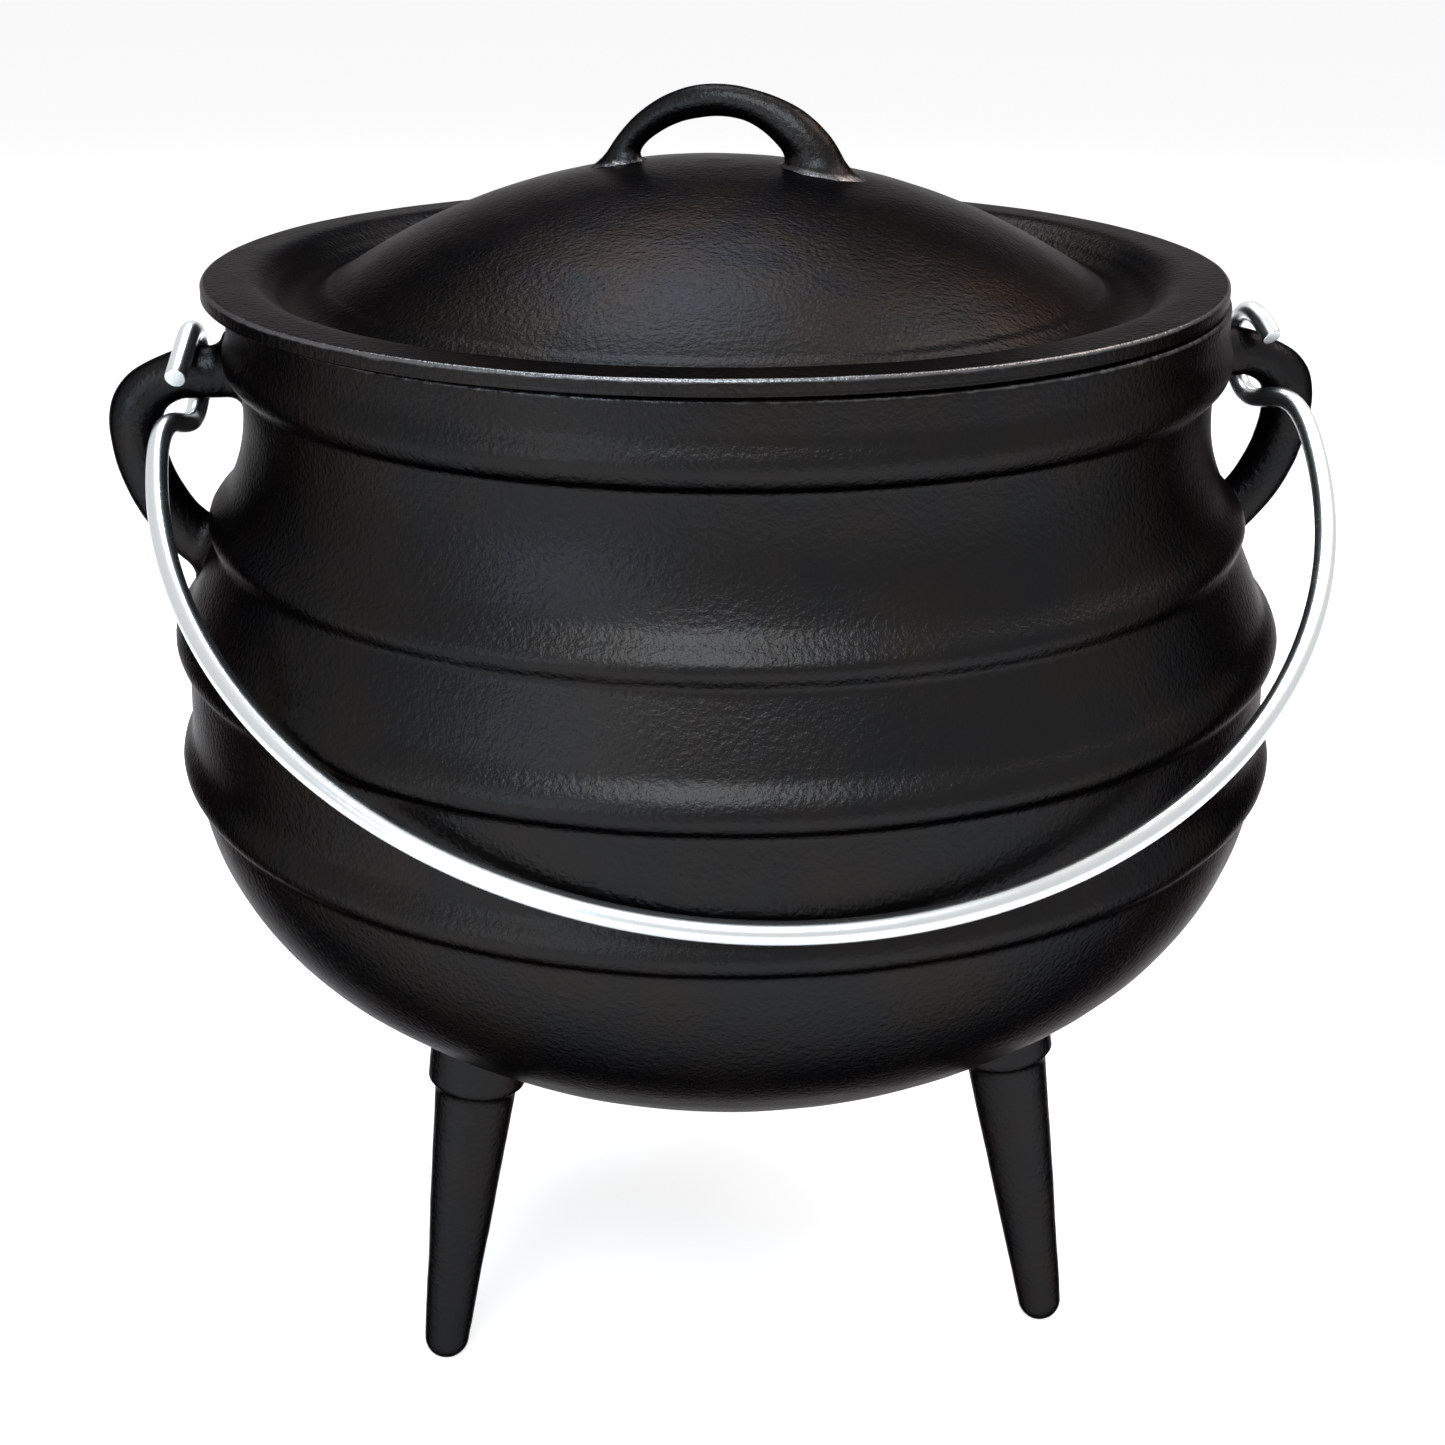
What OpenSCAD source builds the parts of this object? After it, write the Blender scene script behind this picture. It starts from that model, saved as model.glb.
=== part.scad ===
// Three-legged cast-iron pot with a domed lid and a swinging wire bail.
// Millimetres, +Z up. The origin is on the ground, on the pot's own axis. The ears lie on X and the bail rests towards -Y.

/* [Pot] */
// Outer radius of the belly wall at the lowest rib
belly_r = 167; // [150:0.5:180]
// Outer radius of the neck, under the top rib
neck_r = 143.6; // [130:0.1:150]
// Outer radius of the straight collar over the top rib
collar_r = 146.5; // [135:0.1:155]
// Thickness of the cast wall
wall = 5.5; // [4:0.1:8]
// Height of the rim's flat top over the ground
rim_z = 340.5; // [320:0.5:360]
// Rounding of the rim's outer edge
rim_edge_r = 1.6; // [0.5:0.1:2.5]
// Height at which the neck starts to flare out
flare_z = 310; // [300:0.5:315]
// Lowest point of the belly over the ground
bowl_z = 90; // [70:0.5:110]
// Radius of the shallow curve of the bowl's bottom
bottom_arc_r = 207; // [190:1:240]

/* [Ribs] */
// Radius of each rib's half-round section
rib_section_r = 5; // [3:0.1:7]
// Heights of the four ribs, from the top down
rib_zs = [322, 276.3, 242.3, 204.2]; // [190:0.1:330]
// How far each rib stands out of the wall under it, from the top down
rib_proud = [4.6, 2, 3.4, 3.2]; // [1:0.1:6]
// Outer radius of the wall under the second rib
shoulder_r = 154.3; // [148:0.1:160]
// Outer radius of the wall under the third rib
barrel_r = 165.4; // [160:0.1:170]

/* [Ears] */
// Radius of an ear's round bar
ear_bar_r = 8; // [5:0.1:11]
// Height of the straight bars that the bail turns on
ear_z = 316; // [305:0.5:325]
// Reach of the bar's centre line from the pot's axis
ear_reach = 176.5; // [168:0.5:190]
// Radius of the tight bend at an ear's outer end
ear_corner_r = 12; // [9:0.5:16]
// Radius of the long bend that leads back to the belly
ear_return_r = 48; // [40:1:60]
// How far the long bend runs round, in degrees
ear_return_turn = 58; // [50:1:64]

/* [Legs] */
// Distance of each foot from the pot's axis
foot_circle_r = 115.5; // [90:0.5:130]
// Outward lean of the legs, in degrees
leg_splay = 9.3; // [4:0.1:14]
// Radius of a leg at its foot
foot_r = 7.8; // [6:0.1:10]
// How much of the foot's round end is flat, measured along its height
foot_flat = 1.2; // [0.5:0.1:3]
// Radius of a leg at its collar
leg_top_r = 13.6; // [11:0.1:16]
// Radius of the collar where a leg meets the belly
leg_collar_r = 16.2; // [14:0.1:20]
// Height of the collar's lower edge over the ground
leg_collar_z = 92; // [80:0.5:100]

/* [Lid] */
// Outer radius of the lid
lid_r = 148.8; // [140:0.1:158]
// Height of the lid's lip, over the pot's rim
lid_lip_h = 5; // [4:0.1:8]
// Rounding of the lip's outer edges
lip_edge_r = 1.4; // [0.5:0.1:2]
// Thickness of the lid's plate
lid_wall = 4.6; // [3.5:0.1:7]
// Radius of the spherical dome
dome_arc_r = 206; // [180:1:260]
// Height of the dome's top over the lip
dome_h = 29.9; // [20:0.1:40]
// Width of the flat lip that lies on the rim
lip_w = 14; // [11:0.5:18]
// Radius of the roll from the lip down into the channel
lip_roll_r = 5; // [2:0.5:8]
// Depth of the dished channel below the lip
channel_depth = 8.3; // [5:0.1:11]
// How far the lid is pushed to one side in the mouth
lid_shift = 3.6; // [0:0.1:3.8]
// Angle by which the lid is turned on the pot
lid_turn = -20; // [-180:1:180]
// Clearance all round between the lid's spigot and the mouth
spigot_play = 4; // [0.5:0.1:6]
// How much narrower the spigot is at its foot
spigot_draft = 2; // [0:0.1:4]
// Gap between the lid's lip and the rim
lid_seat_gap = 0.3; // [0.1:0.05:1]

/* [Lid handle] */
// Radius of the handle's round bar
handle_bar_r = 4.8; // [3.5:0.1:8]
// Radius of the handle's half ring, to the middle of the bar
handle_ring_r = 29; // [24:0.5:36]
// Clear height under the handle, over the dome
handle_clear = 11.2; // [8:0.1:24]
// Radius of the swelling at each foot of the handle
handle_foot_r = 7.6; // [5:0.1:10]
// Height of that swelling
handle_foot_h = 7; // [4:0.5:12]
// Depth that the handle's feet run into the dome
handle_sink = 3; // [1:0.1:4]

/* [Bail] */
// Radius of the bail's wire
wire_r = 3.1; // [2:0.1:4]
// Radius of the bail's arc, to the middle of the wire
bail_arc_r = 171.5; // [165:0.5:185]
// Distance of the arc's centre below the ears' axis, along the bail
bail_arc_drop = 28; // [15:0.5:45]
// Clearance between the eyes of the bail and the bars of the ears
eye_play = 0.6; // [0.3:0.1:2]
// Distance from the pot's axis to the innermost point of an eye's turn
eye_x = 154.5; // [153:0.5:158]
// How far outside that point the wire starts its turn
eye_travel = 6; // [4:0.1:8]
// How far the wire goes round the bar, in degrees
eye_turn = 266; // [250:1:290]
// Length of the straight tail at the cut end
eye_tail = 12; // [6:0.5:16]
// Gap between the resting bail and the belly
bail_rest_gap = 0.3; // [0.1:0.05:1]

/* [Hidden] */
$fn = 96;
// Largest angle between two points of a rounded stretch of an outline
arc_step = 5;
// How far a cutting shape runs past the face that it cuts
past = 1;
black_iron = [0.09, 0.09, 0.095];
bright_zinc = [0.78, 0.79, 0.8];
leg_angles = [-60, 60, 180];

// Points of an arc about c, from angle a0 to angle a1
function arc(c, r, a0, a1) =
    let (n = max(2, ceil(abs(a1 - a0) / arc_step)))
    [for (k = [0:n]) c + r * [cos(a0 + (a1 - a0) * k / n), sin(a0 + (a1 - a0) * k / n)]];

// The pot
mouth_r = neck_r - wall;
// Outer radius of the wall that each rib stands on
wall_rs = [neck_r, shoulder_r, barrel_r, belly_r];

// The flare from the neck to the second rib: an arc whose centre lies outside the pot
flare_drop = flare_z - rib_zs[1];
flare_out = shoulder_r - neck_r + rib_proud[1] / 2;
flare_arc_r = (pow(flare_drop, 2) + pow(flare_out, 2)) / (2 * flare_out);
flare_end = asin(flare_drop / flare_arc_r);

// The side of the bowl: an arc that is upright at the lowest rib and runs smoothly into the bottom's shallow arc
bottom_arc_z = bowl_z + bottom_arc_r;
bowl_dz = bottom_arc_z - rib_zs[3];
side_arc_r = (pow(bottom_arc_r, 2) - pow(belly_r, 2) - pow(bowl_dz, 2)) / (2 * (bottom_arc_r - belly_r));
side_arc_c = [belly_r - side_arc_r, rib_zs[3]];
bowl_join = atan2(bowl_dz, side_arc_c[0]);

// Outline of the wall without its ribs, from the top down to the axis, drawn in by `inset`
function wall_outline(inset) = concat(
    arc([neck_r + flare_arc_r, flare_z], flare_arc_r + inset, 180, 180 + flare_end),
    [[shoulder_r - inset, rib_zs[1] - rib_section_r],
     [barrel_r - inset, rib_zs[2] + rib_section_r],
     [barrel_r - inset, rib_zs[2] - rib_section_r]],
    arc(side_arc_c, side_arc_r - inset, 0, -bowl_join),
    arc([0, bottom_arc_z], bottom_arc_r - inset, -bowl_join, -90));

module pot_skin() {
    rotate_extrude() {
        polygon(concat([[0, rim_z], [collar_r - rim_edge_r, rim_z]],
                       arc([collar_r - rim_edge_r, rim_z - rim_edge_r], rim_edge_r, 90, 0),
                       [[collar_r, rib_zs[0]], [neck_r, rib_zs[0]]],
                       wall_outline(0)));
        for (k = [0:len(rib_zs) - 1])
            translate([wall_rs[k] + rib_proud[k] - rib_section_r, rib_zs[k]])
                polygon(arc([0, 0], rib_section_r, -180, 180));
    }
}

module pot_hollow() {
    rotate_extrude()
        polygon(concat([[0, rim_z + past], [mouth_r, rim_z + past]], wall_outline(wall)));
}

// One cast loop ear, on +X: a straight bar, a tight bend and a long bend back to the belly
module ear() {
    corner = [ear_reach - ear_corner_r, ear_z - ear_corner_r];
    root_x = mouth_r + wall / 2;
    translate([root_x, 0, ear_z]) rotate([0, 90, 0]) cylinder(r = ear_bar_r, h = corner[0] - root_x);
    translate([corner[0], 0, corner[1]]) rotate([90, 0, 0])
        rotate_extrude(angle = 90) translate([ear_corner_r, 0]) circle(r = ear_bar_r);
    translate([ear_reach - ear_return_r, 0, corner[1]]) rotate([90, 0, 0]) rotate([0, 0, -ear_return_turn])
        rotate_extrude(angle = ear_return_turn) translate([ear_return_r, 0]) circle(r = ear_bar_r);
}

// One leg on -Y, with a round foot that is flat underneath; it runs up into the bowl, which the hollow cuts off
module leg() {
    foot_c_z = foot_r - foot_flat;
    collar_at = (leg_collar_z - foot_c_z) / cos(leg_splay);
    top_at = (rib_zs[3] - foot_c_z) / cos(leg_splay);
    chamfer = leg_collar_r - leg_top_r;
    translate([0, -foot_circle_r, foot_c_z]) rotate([-leg_splay, 0, 0]) rotate_extrude()
        polygon(concat(arc([0, 0], foot_r, -90, 0),
                       [[leg_top_r, collar_at - chamfer], [leg_collar_r, collar_at],
                        [leg_collar_r, top_at], [0, top_at]]));
}

module pot() {
    floor_r = foot_circle_r + leg_collar_r;
    color(black_iron)
        difference() {
            union() {
                pot_skin();
                for (side = [0, 180]) rotate([0, 0, side]) ear();
                for (a = leg_angles) rotate([0, 0, a]) leg();
            }
            pot_hollow();
            translate([0, 0, -foot_r]) cylinder(r = floor_r, h = foot_r);
        }
}

// The lid
lip_under_z = rim_z + lid_seat_gap;
lip_z = lip_under_z + lid_lip_h;
lip_in_r = lid_r - lip_w;
spigot_r = mouth_r - spigot_play;
dome_top_z = lip_z + dome_h;
dome_c_z = dome_top_z - dome_arc_r;
channel_z = lip_z - channel_depth;
plate_under_z = channel_z - lid_wall;
// Half angles of the dome's outer and inner sphere where they reach the channel and the plate's underside
dome_half = acos((channel_z - dome_c_z) / dome_arc_r);
hollow_half = acos((plate_under_z - dome_c_z) / (dome_arc_r - lid_wall));
// The roll ends in a slope of 45 degrees down to the channel
roll_end = [lip_in_r - lip_roll_r * sin(45), lip_z - lip_roll_r * (1 - cos(45))];
channel_out_r = roll_end[0] - (roll_end[1] - channel_z);

// The lid without its handle, on its own axis
module lid_plate() {
    rotate_extrude()
        polygon(concat(
            arc([0, dome_c_z], dome_arc_r, 90, 90 - dome_half),
            [[channel_out_r, channel_z]],
            arc([lip_in_r, lip_z - lip_roll_r], lip_roll_r, 135, 90),
            arc([lid_r - lip_edge_r, lip_z - lip_edge_r], lip_edge_r, 90, 0),
            arc([lid_r - lip_edge_r, lip_under_z + lip_edge_r], lip_edge_r, 0, -90),
            [[spigot_r, lip_under_z], [spigot_r - spigot_draft, plate_under_z]],
            arc([0, dome_c_z], dome_arc_r - lid_wall, 90 - hollow_half, 90)));
}

// The half ring and the two swellings where it meets the dome
module lid_handle() {
    ring_z = dome_top_z + handle_clear + handle_bar_r - handle_ring_r;
    foot_z = dome_c_z + sqrt(pow(dome_arc_r, 2) - pow(handle_ring_r, 2)) - handle_sink;
    reach = asin((ring_z - foot_z) / handle_ring_r);
    translate([0, 0, ring_z]) rotate([90, 0, 0]) rotate([0, 0, -reach])
        rotate_extrude(angle = 180 + 2 * reach) translate([handle_ring_r, 0]) circle(r = handle_bar_r);
    for (side = [-1, 1])
        translate([side * handle_ring_r, 0, foot_z])
            cylinder(r1 = handle_foot_r, r2 = handle_bar_r, h = handle_foot_h);
}

module lid() {
    color(black_iron)
        translate([-lid_shift, 0, 0]) rotate([0, 0, lid_turn]) {
            lid_plate();
            lid_handle();
        }
}

// The bail, in its own plane: x across, s from the ears' axis towards the crown, n out of the plane
eye_r = ear_bar_r + eye_play + wire_r;
crown_s = bail_arc_drop + bail_arc_r;
bail_lean = asin((belly_r + wire_r + bail_rest_gap) / crown_s);
// Angle of the arc, from its widest place towards the crown, at which the wire leaves it for the eye
arc_leave = 3;
// Share of the turn at which the eye comes closest to the pot
eye_inmost = 0.63;
// How strongly the bend between arc and eye follows the direction of each, as a share of its height
arc_pull = 0.75;
eye_pull = 0.45;
wire_sides = 12;
arc_parts = 24;
bend_parts = 12;
eye_parts = 22;

function unit(v) = v / norm(v);
function bezier(p, t) =
    pow(1 - t, 3) * p[0] + 3 * pow(1 - t, 2) * t * p[1] + 3 * (1 - t) * t * t * p[2] + pow(t, 3) * p[3];

// The eye's turn round the bar: in under it, up behind it, over it and down in front; and its direction
function eye_point(t) =
    [eye_x + eye_travel * pow(t / eye_inmost - 1, 2), eye_r * cos(eye_turn * t), eye_r * sin(eye_turn * t)];
function eye_dir(t) =
    unit([2 * eye_travel * (t / eye_inmost - 1) / eye_inmost,
          -eye_r * sin(eye_turn * t) * eye_turn * PI / 180, eye_r * cos(eye_turn * t) * eye_turn * PI / 180]);

arc_tip = [bail_arc_r * cos(arc_leave), bail_arc_drop + bail_arc_r * sin(arc_leave), 0];
arc_tip_dir = [sin(arc_leave), -cos(arc_leave), 0];
bend_h = arc_tip[1] - eye_r;
bend = [arc_tip, arc_tip + arc_pull * bend_h * arc_tip_dir, eye_point(0) - eye_pull * bend_h * eye_dir(0), eye_point(0)];

// Centre line of one half of the wire, from the crown to the cut end of the eye, and of the whole wire
half_path = concat(
    [for (k = [0:arc_parts]) let (a = 90 - (90 - arc_leave) * k / arc_parts)
        [bail_arc_r * cos(a), bail_arc_drop + bail_arc_r * sin(a), 0]],
    [for (k = [1:bend_parts]) bezier(bend, k / bend_parts)],
    [for (k = [1:eye_parts]) eye_point(k / eye_parts)],
    [eye_point(1) + eye_tail * eye_dir(1)]);
wire_path = concat([for (k = [len(half_path) - 1:-1:1]) [-half_path[k][0], half_path[k][1], half_path[k][2]]],
                   half_path);

function tangent(p, k) = unit(p[min(k + 1, len(p) - 1)] - p[max(k - 1, 0)]);
function square_to(n, t) = unit(n - (n * t) * t);

// A closed tube of the given radius round a path, with rings that don't twist
module sweep(path, r, sides) {
    last = len(path) - 1;
    normals = [for (k = 0, n = square_to([0, 0, 1], tangent(path, 0)); k <= last;
                    k = k + 1, n = k <= last ? square_to(n, tangent(path, k)) : n) n];
    rings = [for (k = [0:last]) let (t = tangent(path, k), n = normals[k], b = cross(t, n))
        for (j = [0:sides - 1]) path[k] + r * (cos(360 * j / sides) * n + sin(360 * j / sides) * b)];
    walls = [for (k = [0:last - 1], j = [0:sides - 1])
        let (a = k * sides + j, b = k * sides + (j + 1) % sides)
        each [[a, a + sides, b], [b, a + sides, b + sides]]];
    ends = [[for (j = [0:sides - 1]) j], [for (j = [sides - 1:-1:0]) last * sides + j]];
    polyhedron(rings, concat(walls, ends), convexity = 6);
}

module bail() {
    color(bright_zinc)
        translate([0, 0, ear_z]) rotate([-90 - bail_lean, 0, 0]) sweep(wire_path, wire_r, wire_sides);
}

pot();
lid();
bail();
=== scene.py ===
"""A three-legged cast-iron pot with a domed lid and a swinging wire bail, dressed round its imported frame.

Sizes are in millimetres, in the frame's own axes: the origin is on the ground on the pot's axis, +Z is up,
the ears lie on X and the bail rests towards -Y. Meshes are in metres.
"""

from __future__ import annotations

import logging
import math
from dataclasses import dataclass, field
from enum import Enum

import bmesh
import bpy
from mathutils import Matrix, Vector, noise
from mathutils.bvhtree import BVHTree

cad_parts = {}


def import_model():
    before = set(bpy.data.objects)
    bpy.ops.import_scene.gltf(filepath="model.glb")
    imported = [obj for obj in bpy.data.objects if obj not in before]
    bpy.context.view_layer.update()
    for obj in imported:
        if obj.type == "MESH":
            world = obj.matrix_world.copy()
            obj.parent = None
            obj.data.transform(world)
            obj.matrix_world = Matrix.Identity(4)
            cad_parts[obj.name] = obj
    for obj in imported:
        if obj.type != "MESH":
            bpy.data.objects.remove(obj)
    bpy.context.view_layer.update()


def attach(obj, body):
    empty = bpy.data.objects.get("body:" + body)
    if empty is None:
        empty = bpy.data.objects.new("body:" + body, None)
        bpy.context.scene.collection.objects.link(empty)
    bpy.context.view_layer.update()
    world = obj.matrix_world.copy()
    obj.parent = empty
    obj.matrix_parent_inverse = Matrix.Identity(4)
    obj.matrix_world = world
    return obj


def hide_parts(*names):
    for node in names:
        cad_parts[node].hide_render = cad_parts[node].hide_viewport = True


LOG = logging.getLogger("potjie")
MM = 0.001
FRAME_PIXELS = 1445
SENSOR = 36.0
QUAD = 4

Point = tuple[float, float]
Colour = tuple[float, float, float]


class Body(Enum):
    """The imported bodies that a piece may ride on."""

    POT = "pot"
    BAIL = "bail"


class Slot(Enum):
    """The record's material slots."""

    POT_IRON = "pot_iron"
    LID_IRON = "lid_iron"
    BAIL_WIRE = "bail_wire"


# Outlines and sweeps


def arc(centre: Point, radius: float, start: float, end: float, step: float = 4.0) -> list[Point]:
    """Gives points on an arc in a plane.

    Args:
        centre: Centre of the arc.
        radius: Radius of the arc.
        start: Angle of the first point, in degrees.
        end: Angle of the last point, in degrees.
        step: Largest angle between two points, in degrees.

    Returns:
        The points, from start to end.
    """
    parts = max(2, math.ceil(abs(end - start) / step))
    angles = [math.radians(start + (end - start) * k / parts) for k in range(parts + 1)]
    return [(centre[0] + radius * math.cos(a), centre[1] + radius * math.sin(a)) for a in angles]


def resampled(points: list[Point], step: float) -> list[Point]:
    """Spreads points evenly along a line.

    Args:
        points: Corners of the line.
        step: Distance between the new points.

    Returns:
        New points from the first corner to the last.
    """
    lengths = [math.dist(a, b) for a, b in zip(points, points[1:])]
    total = sum(lengths)
    count = max(2, round(total / step))
    out, leg, passed = [points[0]], 0, 0.0
    for k in range(1, count):
        goal = total * k / count
        while passed + lengths[leg] < goal:
            passed += lengths[leg]
            leg += 1
        share = (goal - passed) / lengths[leg]
        a, b = points[leg], points[leg + 1]
        out.append((a[0] + (b[0] - a[0]) * share, a[1] + (b[1] - a[1]) * share))
    return out + [points[-1]]


def softened(points: list[Point], passes: int) -> list[Point]:
    """Rounds the corners of an evenly spaced line and keeps its ends.

    Args:
        points: The line's points.
        passes: How many times each point moves to the mean of its neighbours and itself.

    Returns:
        The moved points.
    """
    line = list(points)
    for _ in range(passes):
        inner = [
            ((a[0] + 2 * b[0] + c[0]) / 4, (a[1] + 2 * b[1] + c[1]) / 4)
            for a, b, c in zip(line, line[1:], line[2:])
        ]
        line = [line[0], *inner, line[-1]]
    return line


def thinned(points: list[Point], below: float, keep: int) -> list[Point]:
    """Keeps only some of a line's points where it runs under a height.

    Args:
        points: The line's points.
        below: The height.
        keep: One point in this many stays.

    Returns:
        The points that stay, with both ends.
    """
    inner = [p for k, p in enumerate(points[1:-1]) if p[1] > below or k % keep == 0]
    return [points[0], *inner, points[-1]]


def smooth_step(x: float) -> float:
    """Rises smoothly from 0 to 1 while x goes from 0 to 1."""
    t = min(1.0, max(0.0, x))
    return t * t * (3 - 2 * t)


def hump(x: float, centre: float, half: float) -> float:
    """Gives 1 at a centre and falls smoothly to 0 at half a width from it."""
    return smooth_step(1 - abs(x - centre) / half)


def unit(vector: Vector) -> Vector:
    """Gives a vector of length 1 with the same direction."""
    return vector.normalized()


def bezier(corners: list[Vector], t: float) -> Vector:
    """Gives the point at share t of a cubic curve with four control points."""
    a, b, c, d = corners
    s = 1 - t
    return s**3 * a + 3 * s * s * t * b + 3 * s * t * t * c + t**3 * d


def ring_edges(ring: list[bmesh.types.BMVert]) -> list[bmesh.types.BMEdge]:
    """Gives the edges that run round a ring of vertices."""
    return list({e for v in ring for e in v.link_edges if e.other_vert(v) in ring})


class Shell:
    """One mesh under construction, in millimetres until it is finished."""

    def __init__(self) -> None:
        """Starts an empty mesh."""
        self.bm = bmesh.new()
        self.wear = self.bm.verts.layers.float.new("wear")

    def revolve(
        self, outline: list[Point], steps: int, wear: list[float] | None = None
    ) -> list[bmesh.types.BMVert]:
        """Spins an outline round the Z axis into a closed shell.

        Args:
            outline: Points of radius and height.
            steps: Faces round the axis.
            wear: How worn each point is, from 0 to 1, or nothing.

        Returns:
            The new vertices.
        """
        before = set(self.bm.verts)
        ring = [self.bm.verts.new((r, 0, z)) for r, z in outline]
        for k, vert in enumerate(ring):
            vert[self.wear] = wear[k] if wear else 0.0
        edges = [self.bm.edges.new(pair) for pair in zip(ring, ring[1:])]
        bmesh.ops.spin(
            self.bm,
            geom=ring + edges,
            cent=(0, 0, 0),
            axis=(0, 0, 1),
            angle=math.tau,
            steps=steps,
            use_merge=True,
        )
        fresh = [v for v in self.bm.verts if v not in before]
        bmesh.ops.remove_doubles(self.bm, verts=fresh, dist=1e-4)
        fresh = [v for v in self.bm.verts if v not in before]
        self.outwards(fresh)
        return fresh

    def sweep(self, path: list[Vector], radii: list[float], sides: int) -> list[bmesh.types.BMVert]:
        """Runs a circle along a path by extruding it from point to point, and closes both ends.

        Args:
            path: Points of the centre line.
            radii: Radius at each point.
            sides: Vertices of the circle.

        Returns:
            The new vertices, ring by ring.
        """
        last = len(path) - 1
        tangents = [unit(path[min(k + 1, last)] - path[max(k - 1, 0)]) for k in range(last + 1)]
        side = tangents[0].orthogonal()
        place = []
        for point, tangent in zip(path, tangents):
            side = unit(side - side.dot(tangent) * tangent)
            place.append(Matrix((side, tangent.cross(side), tangent)).transposed().to_4x4())
            place[-1].translation = point
        made = bmesh.ops.create_circle(
            self.bm, cap_ends=True, segments=sides, radius=radii[0], matrix=place[0]
        )
        ring, rings = list(made["verts"]), list(made["verts"])
        for k in range(1, last + 1):
            grown = bmesh.ops.extrude_edge_only(self.bm, edges=ring_edges(ring))["geom"]
            ring = [g for g in grown if isinstance(g, bmesh.types.BMVert)]
            scale = Matrix.Scale(radii[k] / radii[k - 1], 4)
            move = place[k] @ scale @ place[k - 1].inverted()
            bmesh.ops.transform(self.bm, matrix=move, verts=ring)
            rings += ring
        bmesh.ops.contextual_create(self.bm, geom=ring_edges(ring))
        self.outwards(rings)
        return rings

    def outwards(self, verts: list[bmesh.types.BMVert]) -> None:
        """Turns the faces round some vertices so that they point outwards."""
        faces = list({f for v in verts for f in v.link_faces})
        bmesh.ops.recalc_face_normals(self.bm, faces=faces)

    def tree(self) -> BVHTree:
        """Gives a search tree of the mesh as it is."""
        self.bm.normal_update()
        return BVHTree.FromBMesh(self.bm)

    def roughen(self, verts: list[bmesh.types.BMVert], waves: tuple[Point, ...]) -> None:
        """Sinks a surface unevenly, as a casting's is, and never raises it.

        Args:
            verts: The vertices of the surface.
            waves: Depth and pitch of each size of wave.
        """
        self.bm.normal_update()
        moves = []
        for vert in verts:
            depth = sum(deep * (1 - noise.noise(vert.co / pitch)) / 2 for deep, pitch in waves)
            moves.append(vert.normal * depth)
        for vert, move in zip(verts, moves):
            vert.co -= move

    def finish(self, name: str) -> bpy.types.Object:
        """Turns the mesh into an object at the origin, in metres, with smooth faces and flat cut ends.

        Args:
            name: Name of the object.

        Returns:
            The object, linked to the scene.
        """
        bmesh.ops.scale(self.bm, vec=(MM, MM, MM), verts=self.bm.verts)
        for face in self.bm.faces:
            face.smooth = len(face.verts) <= QUAD
        mesh = bpy.data.meshes.new(name)
        self.bm.to_mesh(mesh)
        self.bm.free()
        piece = bpy.data.objects.new(name, mesh)
        bpy.context.scene.collection.objects.link(piece)
        return piece


def settle(verts: list[bmesh.types.BMVert], spine: list[Vector], tree: BVHTree, fillet: float) -> None:
    """Spreads a swept bar where it meets a wall, so that the two run into each other in a round fillet.

    Args:
        verts: Vertices of the bar, ring by ring.
        spine: Points of the bar's centre line, one for each ring.
        tree: Search tree of the wall.
        fillet: Radius of the fillet.
    """
    sides = len(verts) // len(spine)
    for k, vert in enumerate(verts):
        near, normal, _, gap = tree.find_nearest(vert.co, fillet)
        if near is None:
            continue
        inside = (vert.co - near).dot(normal) < 0
        height = 0.0 if inside else gap
        out = vert.co - spine[k // sides]
        out -= out.dot(normal) * normal
        spread = fillet - math.sqrt(max(0.0, fillet**2 - (fillet - height) ** 2))
        if out.length > 1e-6:
            vert.co += unit(out) * spread


# The pieces


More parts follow.
